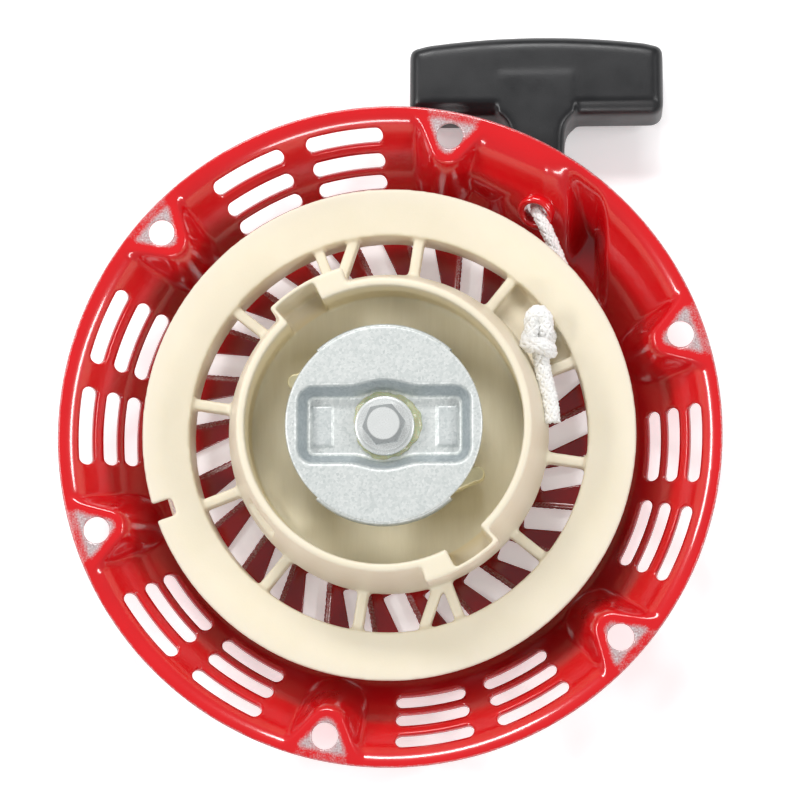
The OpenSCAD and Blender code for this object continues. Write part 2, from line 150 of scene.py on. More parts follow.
# %% Pressed sheet: a polar grid of heights, with openings cut on their outlines
def smooth_max(a, b, k):
    h = np.clip(k - np.abs(a - b), 0, None) / k
    return np.maximum(a, b) + h * h * k / 4


def smooth_min(a, b, k):
    return -smooth_max(-a, -b, k)


def pressed(name, radii, turns, height, opening, sheet, reach):
    """radii in mm; height(x, y) and opening(x, y) in mm, the second negative in a hole."""
    angle = np.arange(turns) * 2 * math.pi / turns
    r, a = np.meshgrid(radii, angle, indexing="ij")
    x, y = (r * np.cos(a)).ravel(), (r * np.sin(a)).ravel()
    step = 0.05
    for _ in range(3):
        d = opening(x, y)
        gx = (opening(x + step, y) - opening(x - step, y)) / (2 * step)
        gy = (opening(x, y + step) - opening(x, y - step)) / (2 * step)
        near = np.abs(d) < reach
        x = np.where(near, x - d * gx, x)
        y = np.where(near, y - d * gy, y)
    z = height(x, y)
    sx = (height(x + step, y) - height(x - step, y)) / (2 * step)
    sy = (height(x, y + step) - height(x, y - step)) / (2 * step)
    long = np.sqrt(sx * sx + sy * sy + 1)
    top = np.column_stack([x, y, z])
    low = top - sheet * np.column_stack([-sx / long, -sy / long, 1 / long])
    i, j = np.meshgrid(np.arange(len(radii) - 1), np.arange(turns), indexing="ij")
    k = (j + 1) % turns
    quads = np.column_stack([(i * turns + j).ravel(), ((i + 1) * turns + j).ravel(),
                             ((i + 1) * turns + k).ravel(), (i * turns + k).ravel()])
    mid = top[quads].mean(axis=1)
    quads = quads[opening(mid[:, 0], mid[:, 1]) > 0.02]
    n = len(top)
    sides = np.concatenate([quads[:, [p, (p + 1) % 4]] for p in range(4)])
    key = np.sort(sides, axis=1)
    _, first, times = np.unique(key, axis=0, return_index=True, return_counts=True)
    rim = sides[first[times == 1]]
    walls = np.column_stack([rim[:, 1], rim[:, 0], rim[:, 0] + n, rim[:, 1] + n])
    faces = np.concatenate([quads, quads[:, ::-1] + n, walls])
    used = np.unique(faces)
    order = np.zeros(2 * n, int)
    order[used] = np.arange(len(used))
    points = np.concatenate([top, low])[used] * MM
    piece = new_piece(name, points.tolist(), order[faces].tolist())
    print(name, len(faces), "faces")
    return piece


# %% Moulded solid: the exact solids joined, then their corners rounded
def moulded(name, nodes, voxel, rounds):
    """voxel in mm; rounds is how many times the skin is relaxed."""
    points, faces = [], []
    for node in nodes:
        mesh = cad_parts[node].data
        start = len(points)
        points += [tuple(v.co) for v in mesh.vertices]
        faces += [[start + v for v in p.vertices] for p in mesh.polygons]
    piece = new_piece(name, points, faces)
    weld = piece.modifiers.new("weld", "WELD")
    weld.merge_threshold = 1e-5
    cells = piece.modifiers.new("cells", "REMESH")
    cells.mode = "VOXEL"
    cells.voxel_size = voxel * MM
    rounder = piece.modifiers.new("rounder", "SMOOTH")
    rounder.factor = 0.5
    rounder.iterations = rounds
    apply_modifiers(piece)
    print(name, len(piece.data.polygons), "faces")
    return piece


# %% Turned ring: a profile of (radius, height) taken round the axis
def turned(name, profile, turns):
    n = len(profile)
    points, faces = [], []
    for j in range(turns):
        a = 2 * math.pi * j / turns
        points += [(r * MM * math.cos(a), r * MM * math.sin(a), z * MM) for r, z in profile]
    for j in range(turns):
        k = (j + 1) % turns
        for i in range(n):
            m = (i + 1) % n
            faces.append((j * n + i, k * n + i, k * n + m, j * n + m))
    return new_piece(name, points, faces)


# %% Braided cord: strands that run both ways round a route, over and under
def smooth_route(points, gap=0.6):
    p = np.array(points, float)
    ends = np.vstack([2 * p[0] - p[1], p, 2 * p[-1] - p[-2]])
    out = []
    for i in range(1, len(ends) - 2):
        a, b, c, d = ends[i - 1:i + 3]
        steps = max(2, int(np.linalg.norm(c - b) / gap))
        for s in range(steps):
            t = s / steps
            out.append(0.5 * (2 * b + (c - a) * t + (2 * a - 5 * b + 4 * c - d) * t * t
                              + (3 * b - a - 3 * c + d) * t ** 3))
    out.append(p[-1])
    return np.array(out)


def carried_frames(route):
    way = np.gradient(route, axis=0)
    way /= np.linalg.norm(way, axis=1)[:, None]
    side = np.cross(way[0], [0, 0, 1])
    if np.linalg.norm(side) < 0.1:
        side = np.cross(way[0], [0, 1, 0])
    sides = []
    for w in way:
        side = side - w * (side @ w)
        side /= np.linalg.norm(side)
        sides.append(side)
    sides = np.array(sides)
    return way, sides, np.cross(way, sides)


def tube_mesh(route, across, up, width, depth, around):
    n = len(route)
    points, faces = [], []
    for i in range(n):
        for j in range(around):
            b = 2 * math.pi * j / around
            points.append(route[i] + width * math.cos(b) * across[i] + depth * math.sin(b) * up[i])
    for i in range(n - 1):
        for j in range(around):
            k = (j + 1) % around
            faces.append((i * around + j, i * around + k,
                          (i + 1) * around + k, (i + 1) * around + j))
    faces.append(tuple(range(around - 1, -1, -1)))
    faces.append(tuple((n - 1) * around + j for j in range(around)))
    return points, faces


def braid(name, points, radius=2.5, carriers=8, lay=19.0):
    """points in mm; lay is the length of one turn of a strand in mm."""
    route = smooth_route(points)
    way, side, up = carried_frames(route)
    along = np.concatenate([[0], np.cumsum(np.linalg.norm(np.diff(route, axis=0), axis=1))])
    all_points, all_faces, tint = [], [], []
    core, core_faces = tube_mesh(route, side, up, radius * 0.62, radius * 0.62, 12)
    all_points += core
    all_faces += core_faces
    tint += [1] * len(core_faces)
    strand_w = 2 * math.pi * radius / carriers * 0.30
    for turn in (1, -1):
        for c in range(carriers):
            phase = 2 * math.pi * c / carriers + (0 if turn == 1 else math.pi / carriers)
            angle = phase + turn * 2 * math.pi * along / lay
            wave = np.cos(carriers * 2 * math.pi * along / lay + (0 if turn == 1 else math.pi)
                          + turn * math.pi * c)
            off = radius * 0.66 + radius * 0.10 * wave
            out = np.cos(angle)[:, None] * side + np.sin(angle)[:, None] * up
            path = route + off[:, None] * out
            run = np.gradient(path, axis=0)
            run /= np.linalg.norm(run, axis=1)[:, None]
            across = np.cross(run, out)
            p, f = tube_mesh(path, across, out, strand_w, radius * 0.24, 8)
            start = len(all_points)
            all_points += p
            all_faces += [tuple(start + v for v in q) for q in f]
            tint += [1 if c == 1 and turn == 1 else 0] * len(f)
    piece = new_piece(name, np.array(all_points) * MM, all_faces)
    piece.data.polygons.foreach_set("material_index", tint)
    print(name, "route", round(float(along[-1]), 1), "mm,", len(all_faces), "faces")
    return piece


# %% [markdown]
# ## Tools for finishes
# A finish is a small graph of nodes. One function adds a node, sets its values and joins its
# inputs, and one turns a hex colour into the linear values that the shader wants.

# %% Node and colour helpers
def linear(hex_colour):
    parts = [int(hex_colour[i:i + 2], 16) / 255 for i in (1, 3, 5)]
    return tuple(c / 12.92 if c <= 0.04045 else ((c + 0.055) / 1.055) ** 2.4
                 for c in parts) + (1,)


def add(tree, kind, settings=None, **inputs):
    node = tree.nodes.new("ShaderNode" + kind)
    for name, value in (settings or {}).items():
        setattr(node, name, value)
    for name, value in inputs.items():
        key = int(name[1:]) if name[0] == "i" and name[1:].isdigit() else name.replace("_", " ")
        socket = node.inputs[key]
        if isinstance(value, bpy.types.NodeSocket):
            tree.links.new(value, socket)
        else:
            socket.default_value = value
    return node


def start_finish(name):
    finish = bpy.data.materials.new(name)
    finish.use_nodes = True
    tree = finish.node_tree
    shader = tree.nodes["Principled BSDF"]
    place = add(tree, "TexCoord").outputs["Object"]
    return finish, tree, shader, place


def ramp(tree, value, low, high, a=0.0, b=1.0):
    return add(tree, "MapRange", {"clamp": True}, Value=value, From_Min=low, From_Max=high,
               To_Min=a, To_Max=b).outputs[0]


def sums(tree, what, a, b):
    return add(tree, "Math", {"operation": what, "use_clamp": False}, i0=a, i1=b).outputs[0]


def tint_mix(tree, factor, a, b):
    node = add(tree, "Mix", {"data_type": "RGBA"}, i0=factor, i6=a, i7=b)
    return node.outputs[2]


def noise(tree, place, size, detail=3.0, rough=0.55):
    """Noise whose lumps are about `size` mm across."""
    return add(tree, "TexNoise", Vector=place, Scale=1 / (size * MM), Detail=detail,
               Roughness=rough).outputs["Fac"]


def bump(tree, shader, height, depth):
    """Relief whose full height is depth, in mm."""
    node = add(tree, "Bump", Height=height, Distance=depth * MM, Strength=1.0)
    tree.links.new(node.outputs["Normal"], shader.inputs["Normal"])


def axis_parts(tree, place):
    """x, y, z and the distance from the crankshaft's axis, in metres."""
    parts = add(tree, "SeparateXYZ", Vector=place).outputs
    flat = add(tree, "CombineXYZ", X=parts["X"], Y=parts["Y"])
    radius = add(tree, "VectorMath", {"operation": "LENGTH"}, i0=flat.outputs[0])
    return parts["X"], parts["Y"], parts["Z"], radius.outputs["Value"]


# %% Red baked enamel
# The clear coat gives hard, narrow highlights, and the faint orange peel breaks them up. A point
# attribute lets grey steel speckle through where a bolt or the engine has worn it. The same
# attribute also paints a highlight along the raised louvre lips. The red is painted darker low in
# the case, as shade.
def make_enamel():
    finish, tree, shader, place = start_finish("red_baked_enamel")
    z = axis_parts(tree, place)[2]
    cloud = noise(tree, place, 30)
    red = tint_mix(tree, cloud, linear("#c8070f"), linear("#e00e17"))
    # painted shade: the red darkens from z -9 mm down to -27 mm, deep in the case where the valley
    # and the wall feet lie in shadow
    red = tint_mix(tree, ramp(tree, z, -9 * MM, -27 * MM), red, linear("#a9080f"))
    grit = noise(tree, place, 0.6, 6, 0.75)
    patch = noise(tree, place, 7, 4, 0.6)
    # the attribute holds real wear on the lands and the flange edge, plus a painted highlight on the
    # raised louvre lips
    wear_and_lip_highlight = add(tree, "Attribute", {"attribute_name": "wear_and_lip_highlight"}).outputs["Fac"]
    speckle = sums(tree, "ADD", sums(tree, "MULTIPLY", grit, 0.9),
                   sums(tree, "MULTIPLY", patch, 0.7))
    bare = ramp(tree, sums(tree, "ADD", speckle, wear_and_lip_highlight), 1.25, 1.85)
    steel = tint_mix(tree, ramp(tree, grit, 0.35, 0.65), linear("#8a7e80"), linear("#e4dfe0"))
    tree.links.new(tint_mix(tree, sums(tree, "MULTIPLY", bare, 0.92), red, steel),
                   shader.inputs["Base Color"])
    tree.links.new(sums(tree, "MULTIPLY", bare, 0.2), shader.inputs["Metallic"])
    tree.links.new(ramp(tree, sums(tree, "ADD", bare, sums(tree, "MULTIPLY", cloud, 0.25)),
                        0, 1, 0.16, 0.45), shader.inputs["Roughness"])
    shader.inputs["Coat Weight"].default_value = 1.0
    shader.inputs["Coat Roughness"].default_value = 0.06
    peel = noise(tree, place, 1.6, 2)
    bump(tree, shader, sums(tree, "SUBTRACT", sums(tree, "MULTIPLY", peel, 0.25), bare), 0.06)
    return finish


# %% Natural nylon
# A little light goes in and comes out again, which gives the waxy cream. It is yellower
# inside the hub ring, and the floor there is stained in streaks by old grease.
def make_nylon():
    finish, tree, shader, place = start_finish("natural_nylon_moulding")
    z, r = axis_parts(tree, place)[2:]
    cloud = noise(tree, place, 22, 4)
    cream = tint_mix(tree, cloud, linear("#e4d9be"), linear("#eee4cf"))
    inside = sums(tree, "MULTIPLY", ramp(tree, r, 50 * MM, 46.8 * MM),
                  ramp(tree, z, 24.4 * MM, 20 * MM))
    body = tint_mix(tree, sums(tree, "MULTIPLY", inside, 0.8), cream, linear("#ecdcb2"))
    outer = ramp(tree, r, 78 * MM, 84 * MM, 0, 0.45)
    body = tint_mix(tree, outer, body, linear("#e2d8c8"))
    streak_place = add(tree, "Mapping", Vector=place, Scale=(1, 0.12, 1),
                       Rotation=(0, 0, 0.5)).outputs[0]
    streaks = noise(tree, streak_place, 2.2, 5, 0.65)
    on_floor = sums(tree, "MULTIPLY", ramp(tree, r, 46.9 * MM, 46.2 * MM),
                    ramp(tree, z, 4 * MM, 1.6 * MM))
    khaki = tint_mix(tree, streaks, linear("#e0d7ba"), linear("#efe8d0"))
    tree.links.new(tint_mix(tree, on_floor, body, khaki), shader.inputs["Base Color"])
    tree.links.new(ramp(tree, streaks, 0.3, 0.7, 0.38, 0.52), shader.inputs["Roughness"])
    shader.inputs["IOR"].default_value = 1.53
    shader.inputs["Subsurface Weight"].default_value = 0.08
    shader.inputs["Subsurface Radius"].default_value = (1.0, 0.7, 0.4)
    shader.inputs["Subsurface Scale"].default_value = 0.0015
    bump(tree, shader, noise(tree, place, 0.8, 3), 0.03)
    return finish


# %% Metals
# Each one is a colour, a grain of its own size and a polish. Zinc plating is milky, so its
# metallic share is low. Galvanised sheet has crystals instead of a grain.
def make_metal(name, dark, light, grain, polish, bite=0.03, metal=1.0, crystals=False,
               shade=None):
    """The shade tuple greys the heights between low and high, in mm: painted shade in a recess and
    on the sides of a bolt head.
    """
    finish, tree, shader, place = start_finish(name)
    if crystals:
        pattern = add(tree, "TexVoronoi", Vector=place, Scale=1 / (grain * MM)).outputs["Color"]
        value = sums(tree, "MULTIPLY", pattern, 1.0)
    else:
        value = noise(tree, place, grain, 4, 0.65)
    smear = noise(tree, place, grain * 12, 3)
    mixed = sums(tree, "ADD", sums(tree, "MULTIPLY", value, 0.6),
                 sums(tree, "MULTIPLY", smear, 0.4))
    colour = tint_mix(tree, mixed, linear(dark), linear(light))
    if shade:
        grey, low, full, fade, high = shade
        z = axis_parts(tree, place)[2]
        # painted shade: a grey band over the given heights
        painted_shade_band = sums(tree, "MULTIPLY", ramp(tree, z, low * MM, full * MM),
                    ramp(tree, z, high * MM, fade * MM))
        colour = tint_mix(tree, sums(tree, "MULTIPLY", painted_shade_band, 0.6), colour, linear(grey))
    tree.links.new(colour, shader.inputs["Base Color"])
    tree.links.new(ramp(tree, mixed, 0.2, 0.8, polish + 0.1, polish - 0.06),
                   shader.inputs["Roughness"])
    shader.inputs["Metallic"].default_value = metal
    bump(tree, shader, value, bite)
    return finish


# %% Braid, grip, grease and table
# Nylon cord is matt with a soft sheen, the grip a fine-grained black with dust on it, and
# grease wet and half clear. The table glows a little, so that it stays white.
def make_cord(name, dark, light):
    finish, tree, shader, place = start_finish(name)
    fleck = noise(tree, place, 0.5, 4, 0.7)
    dirt = noise(tree, place, 6, 3)
    white = tint_mix(tree, fleck, linear(dark), linear(light))
    tree.links.new(tint_mix(tree, ramp(tree, dirt, 0.55, 0.85, 0, 0.2), white,
                            linear("#b9b6aa")), shader.inputs["Base Color"])
    shader.inputs["Roughness"].default_value = 0.7
    shader.inputs["Sheen Weight"].default_value = 0.25
    bump(tree, shader, fleck, 0.05)
    return finish


def make_grip_plastic():
    finish, tree, shader, place = start_finish("black_moulded_plastic")
    grain = noise(tree, place, 0.35, 3, 0.6)
    cloud = noise(tree, place, 12, 3)
    black = tint_mix(tree, cloud, linear("#101012"), linear("#19191b"))
    dust = ramp(tree, noise(tree, place, 0.55, 6, 0.8), 0.70, 0.78, 0, 0.5)
    tree.links.new(tint_mix(tree, dust, black, linear("#8f8c86")), shader.inputs["Base Color"])
    tree.links.new(ramp(tree, cloud, 0.3, 0.7, 0.3, 0.42), shader.inputs["Roughness"])
    bump(tree, shader, grain, 0.03)
    return finish


def make_grease():
    finish, tree, shader, place = start_finish("lithium_grease")
    cloud = noise(tree, place, 2, 4)
    tree.links.new(tint_mix(tree, cloud, linear("#989b70"), linear("#d0d2b4")),
                   shader.inputs["Base Color"])
    shader.inputs["Roughness"].default_value = 0.2
    shader.inputs["Subsurface Weight"].default_value = 0.3
    shader.inputs["Subsurface Scale"].default_value = 0.0008
    bump(tree, shader, cloud, 0.2)
    return finish


def make_table():
    finish, tree, shader, place = start_finish("white_table")
    cloud = noise(tree, place, 60, 3)
    tree.links.new(tint_mix(tree, cloud, linear("#f7f7f7"), linear("#fbfbfb")),
                   shader.inputs["Base Color"])
    shader.inputs["Roughness"].default_value = 0.6
    shader.inputs["Emission Color"].default_value = (1, 1, 1, 1)
    shader.inputs["Emission Strength"].default_value = 0.33
    return finish


enamel = make_enamel()
nylon = make_nylon()
# the last tuple paints shade on the plate's recess walls, from z 17.5 to 23.8 mm
zinc = make_metal("galvanised_steel", "#b4bbb9", "#f3f5f2", 0.8, 0.42, 0.03, 0.3, True,
                  ("#71808a", 17.5, 18.4, 22.6, 23.8))
# the last tuple paints shade on the bolt's hex sides and chamfer, so the top disc and the flange
# stay light
bolt_steel = make_metal("bright_zinc_bolt", "#c4c8c6", "#fbfcfa", 0.5, 0.26, 0.02, 0.25, False,
                        ("#6f7577", 20.8, 21.2, 25.2, 25.45))
pawl_steel = make_metal("yellow_zinc_pawl", "#cabf92", "#f4ecc8", 0.8, 0.34, 0.03, 0.3)
spring_steel = make_metal("blued_spring_steel", "#2c3138", "#596069", 0.6, 0.3)
post_steel = make_metal("turned_plain_steel", "#6e7074", "#a6a8ab", 0.6, 0.32)
cord_white = make_cord("white_nylon_braid", "#efeee9", "#ffffff")
cord_grey = make_cord("grey_tracer_strand", "#8f8f95", "#bebec0")
grip_black = make_grip_plastic()
grease = make_grease()
table_white = make_table()


def dress(piece, *finishes):
    piece.data.materials.clear()
    for finish in finishes:
        piece.data.materials.append(finish)


# %% Table
table = new_piece("table", [(-2, -2, 0), (2, -2, 0), (2, 2, 0), (-2, 2, 0)], [(0, 1, 2, 3)], False)
table.location.z = cad_box[0][2] - 0.5 * MM
dress(table, table_white)
print("table at", round(table.location.z / MM, 1), "mm")


# %% [markdown]
# ## The case
# The case is one blank of 1.5 mm sheet, drawn into a bowl in a press. Its six mounting lands
# and the flat round the rope eyelet are pushed back up in the same stroke, so every corner is
# a bend and none is sharp. A field of heights says exactly that: the highest of several
# surfaces wins, and the blend between them is the bend radius.

# %% Heights of the case, in mm
SHEET = 1.5
FLANGE_R, WALL_R, FACE_R, DEPTH = 113.5, 109.3, 82.5, 30.5
HOLE_A, HOLE_R, PCD_R, HOLES = 18.3, 4.5, 105.0, 6
LAND_C, LAND_R, LAND_HALF, LAND_SIDE = 101.5, 6.0, math.radians(33), math.radians(18)
GUIDE = (51.0, 79.0, -15.5)
GUIDE_SLOPE = math.radians(46)
GUIDE_LEFT, GUIDE_RIGHT, GUIDE_FALL = 23, 62.5, 2.4
FACE_BEND, LAND_BEND, LIP_BEND, VALLEY_BEND = 5, 6.5, 4.5, 6
LOUVRES, LOUVRE_FROM, LOUVRE_TILT = 24, 53, math.radians(25)
VENT_RADII, VENT_COLUMNS, VENT_W, VENT_SPAN = (104.36, 97.08, 90.84), (20.3, 39.7), 4.6, 12.3
GUIDE_WAY = (math.cos(math.radians(66)), math.sin(math.radians(66)))


def land_distance(x, y, centre_a):
    """Distance outside one land: a wedge with a round nose that points to the centre."""
    a = math.radians(centre_a)
    u = x * math.cos(a) + y * math.sin(a) - LAND_C
    v = np.abs(-x * math.sin(a) + y * math.cos(a))
    s = v * math.cos(LAND_HALF) - u * math.sin(LAND_HALF)
    t = u * math.cos(LAND_HALF) + v * math.sin(LAND_HALF)
    return np.where((t > 0) | (s < 0), s, np.hypot(u, v)) - LAND_R


def valley(r):
    """The steep wall beside the eyelet, with its gentle floor."""
    return np.maximum((r - 109.8) * 2.8, -26 + (r - 100) * 0.12)


def valley_share(x, y):
    """1 in the pocket beside the eyelet, 0 elsewhere."""
    up = np.clip((75.5 - x) / 4.5, 0, 1)
    down = np.clip((x - 54) / 3, 0, 1) * np.clip((y - 45) / 4, 0, 1)
    return up * up * (3 - 2 * up) * down


def case_height(x, y):
    r = np.hypot(x, y)
    cone = (r - WALL_R) * DEPTH / (WALL_R - FACE_R)
    z = smooth_max(cone, np.full_like(r, -DEPTH), FACE_BEND)
    z = z + (smooth_min(z, valley(r), VALLEY_BEND) - z) * valley_share(x, y)
    for i in range(HOLES):
        d = land_distance(x, y, HOLE_A + 60 * i)
        z = smooth_max(z, -d / math.tan(LAND_SIDE) + 1.6, LAND_BEND)
    inwards = (x - GUIDE[0]) * GUIDE_WAY[0] + (y - GUIDE[1]) * GUIDE_WAY[1]
    flat = GUIDE[2] + 1.6 + inwards * math.tan(GUIDE_SLOPE)
    left_edge = GUIDE_LEFT + np.clip((92 - y) / 8, 0, 1) * 14
    away = np.maximum(left_edge - x, x - GUIDE_RIGHT)
    away = np.maximum(0.5 * (away + np.sqrt(away ** 2 + 16)) - 0.4, 0)
    z = smooth_max(z, flat - away * GUIDE_FALL, LIP_BEND)
    z = smooth_min(z, np.zeros_like(r), LIP_BEND)
    edge = np.clip((r - (FLANGE_R - 0.7)) / 0.7, 0, 1)
    return z - 0.35 * edge ** 2 + louvre_lip(x, y)


# %% Openings of the case: bolt holes, curved vents, louvres and the eyelet
def curved_slot(x, y, radius, centre_a, width, span):
    a = np.arctan2(y, x) - math.radians(centre_a)
    a = (a + math.pi) % (2 * math.pi) - math.pi
    a = np.clip(a, -math.radians(span / 2), math.radians(span / 2)) + math.radians(centre_a)
    return np.hypot(x - radius * np.cos(a), y - radius * np.sin(a)) - width / 2


def louvre(x, y, i):
    """Distance outside one louvre slot, and how far across the slot the point lies."""
    a = math.radians(15 * i)
    tilt = a + LOUVRE_TILT
    dx, dy = x - LOUVRE_FROM * math.cos(a), y - LOUVRE_FROM * math.sin(a)
    u = dx * math.cos(tilt) + dy * math.sin(tilt)
    v = -dx * math.sin(tilt) + dy * math.cos(tilt)
    side = np.maximum(np.abs(u - 11.5) - 10.5, 0), np.maximum(np.abs(v) - 3, 0)
    core = np.minimum(np.maximum(np.abs(u - 11.5) - 10.5, np.abs(v) - 3), 0)
    return np.hypot(*side) + core - 1, v


def louvre_lip(x, y):
    """The rounded edge that each slot's blade is raised to."""
    lift = np.zeros_like(x)
    for i in range(LOUVRES):
        d, v = louvre(x, y, i)
        raised = 1.1 * np.exp(-(np.clip(d, 0, None) / 1.1) ** 2)
        lift = np.maximum(lift, np.where(v > 0, raised, 0))
    return lift


def case_opening(x, y):
    d = np.hypot(x, y) - 6
    for i in range(HOLES):
        a = math.radians(HOLE_A + 60 * i)
        d = np.minimum(d, np.hypot(x - PCD_R * math.cos(a), y - PCD_R * math.sin(a)) - HOLE_R)
        if i == 0:
            continue  # the rope guide takes the place of the vents here
        for radius in VENT_RADII:
            for column in VENT_COLUMNS:
                centre_a = HOLE_A + 60 * i + column
                d = np.minimum(d, curved_slot(x, y, radius, centre_a, VENT_W, VENT_SPAN))
    for i in range(LOUVRES):
        d = np.minimum(d, louvre(x, y, i)[0])
    dx, dy = x - GUIDE[0], y - GUIDE[1]
    up_slope = (dx * GUIDE_WAY[0] + dy * GUIDE_WAY[1]) / math.cos(GUIDE_SLOPE)
    level = dx * GUIDE_WAY[1] - dy * GUIDE_WAY[0]
    return np.minimum(d, np.hypot(up_slope, level) - 5.3)


# %% How far the bolts and the engine have worn the enamel, plus painted highlights on the louvre lips
def wear_and_lip_highlight_marks(piece):
    spots = np.empty(len(piece.data.vertices) * 3)
    piece.data.vertices.foreach_get("co", spots)
    x, y, z = spots.reshape(-1, 3).T / MM
    r = np.hypot(x, y)
    wear_and_lip_highlight = np.zeros(len(x))
    for i in range(HOLES):
        d = land_distance(x, y, HOLE_A + 60 * i)
        wear_and_lip_highlight = np.maximum(wear_and_lip_highlight, np.clip((-d - 1.2) / 3.2, 0, 1))
    wear_and_lip_highlight *= np.clip((z + 1.0) / 0.8, 0, 1)
    wear_and_lip_highlight *= 1 - 0.45 * np.clip((r - 109.5) / 1.5, 0, 1)
    edge = np.clip((r - 112.3) / 1.0, 0, 1) * np.clip((z + 1.0) / 0.6, 0, 1)
    layer = piece.data.attributes.new("wear_and_lip_highlight", "FLOAT", "POINT")
    # painted highlight: light steel speckle on the raised louvre lips, standing in for their
    # reflections
    painted_lip_highlight = 0.62 * np.clip((z + 30.6) / 0.3, 0, 1) * (r > 54) * (r < 78) * (z < -26)
    layer.data.foreach_set("value", np.maximum(np.maximum(wear_and_lip_highlight, 0.75 * edge), painted_lip_highlight))


# %% Case
case_radii = np.concatenate([np.linspace(5.2, 52, 24), np.linspace(52.8, 82, 40),
                             np.linspace(82.8, FLANGE_R, 52)])
case = pressed("case_shell", case_radii, 960, case_height, case_opening, SHEET, 0.45)
for vertex in case.data.vertices:
    vertex.co.z = max(vertex.co.z, -(DEPTH + SHEET) * MM)
wear_and_lip_highlight_marks(case)
dress(case, enamel)
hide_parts("case")
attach(case, "root")


# %% [markdown]
# ## The rope eyelet
# A bush of the same steel is rolled into the sloping flat, so that the rope runs over a round
# lip instead of an edge. It is a turned ring with a rolled bead at each end, tilted with the
# flat.

# %% Eyelet
def rolled_bush():
    profile = []
    for side in (1, -1):
        for k in range(9):
            b = math.pi * k / 8
            turn = b if side == 1 else math.pi + b
            profile.append((5.35 + 1.25 * math.cos(turn), side * 1.75 + 1.25 * math.sin(turn)))
    return turned("eyelet_bush", profile, 64)


eyelet = rolled_bush()
square_to_flat = (Matrix.Translation(Vector(GUIDE) * MM + Vector((0, 0, 0.9 * MM)))
                  @ Matrix.Rotation(math.radians(66 - 90), 4, "Z")
                  @ Matrix.Rotation(GUIDE_SLOPE, 4, "X"))
eyelet.data.transform(square_to_flat)
dress(eyelet, enamel)
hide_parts("rope_eyelet")
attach(eyelet, "root")


# %% [markdown]
# ## The reel
# The reel is one nylon moulding. The melt leaves a small fillet in every corner, which is what
# makes the windows between the spokes look soft, so the exact solids are joined into one skin
# and that skin is relaxed.

# %% Reel
reel = moulded("reel_moulding", ["reel_hub", "reel_spokes", "reel_rim"], 0.6, 14)
dress(reel, nylon)
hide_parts("reel_hub", "reel_spokes", "reel_rim")
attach(reel, "reel")


# %% [markdown]
# ## The ratchet
# Pawls, plate, washer and bolt are plated steel. The plate is another pressing, so it is made
# like the case: a flat disc with a slot-shaped recess whose floor steps up at both ends.

# %% Friction plate
PLATE_TOP, PLATE_FLOOR, PLATE_HOLE_R = 24.0, 17.0, 6.06


def box_distance(x, y, half_x, half_y, corner):
    qx, qy = np.abs(x) - half_x + corner, np.abs(y) - half_y + corner
    return (np.hypot(np.maximum(qx, 0), np.maximum(qy, 0))
            + np.minimum(np.maximum(qx, qy), 0) - corner)


def plate_height(x, y):
    r = np.hypot(x, y)
    slot = box_distance(x, y, 25.5, 9.5, 2)
    centre = r - 11.5
    hollow = smooth_min(slot, centre, 3)
    wall = PLATE_FLOOR + np.clip(hollow, -1, None) * 1.9
    z = smooth_max(wall, np.full_like(r, PLATE_FLOOR), 1.0)
    z = smooth_min(z, np.full_like(r, PLATE_TOP), 1.6)
    end_panel = box_distance(np.abs(x) - 21, y, 3.9, 7.2, 0.8)
    z = z + 0.7 * np.clip(-end_panel / 0.8, 0, 1)
    return z - 0.4 * np.clip((r - 32.3) / 0.7, 0, 1) ** 2


def plate_opening(x, y):
    return np.hypot(x, y) - PLATE_HOLE_R


plate_radii = np.concatenate([np.linspace(5.4, 32, 64), [32.4, 32.7, 33.0]])
plate = pressed("friction_plate_pressing", plate_radii, 400, plate_height, plate_opening, SHEET, 0.3)


def add_lips(piece):
    """The rolled rims on two sides of the plate, and the two tabs that push the pawls."""
    made = bmesh.new()
    made.from_mesh(piece.data)
    profile = [(32.2, 23.0), (32.6, 23.75), (33.2, 23.6), (33.7, 23.0), (33.8, 22.2),
               (33.8, 18.3), (33.5, 18.0), (32.5, 18.0), (32.2, 18.3)]
    for begin in (48, 228):
        rings = []
        for j in range(61):
            a = math.radians(begin + 84 * j / 60)
            rings.append([made.verts.new((r * MM * math.cos(a), r * MM * math.sin(a), z * MM))
                          for r, z in profile])
        for one, two in zip(rings, rings[1:]):
            for i in range(len(profile)):
                m = (i + 1) % len(profile)
                made.faces.new((one[i], two[i], two[m], one[m])).smooth = True
        made.faces.new(rings[0])
        made.faces.new(rings[-1][::-1])
    for begin in (165, 345):
        tab = []
        for a, r in ((begin, 21.5), (begin + 7, 21.5), (begin + 7, 24.5), (begin, 24.5)):
            t = math.radians(a)
            tab.append([made.verts.new((r * MM * math.cos(t), r * MM * math.sin(t), z * MM))
                            for z in (6.5, 15.8)])
        for i in range(4):
            m = (i + 1) % 4
            made.faces.new((tab[i][0], tab[m][0], tab[m][1], tab[i][1]))
        made.faces.new([p[0] for p in tab][::-1])
        made.faces.new([p[1] for p in tab])
    bmesh.ops.recalc_face_normals(made, faces=made.faces)
    made.to_mesh(piece.data)
    made.free()


add_lips(plate)
dress(plate, zinc)
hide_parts("friction_plate")
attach(plate, "plate")

# %% Pawls: forged, so their corners are only just rounded
for letter in "ab":
    pawl = moulded("pawl_" + letter + "_forging", ["pawl_" + letter], 0.35, 3)
    dress(pawl, pawl_steel)
    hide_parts("pawl_" + letter)
    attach(pawl, "pawl_" + letter)

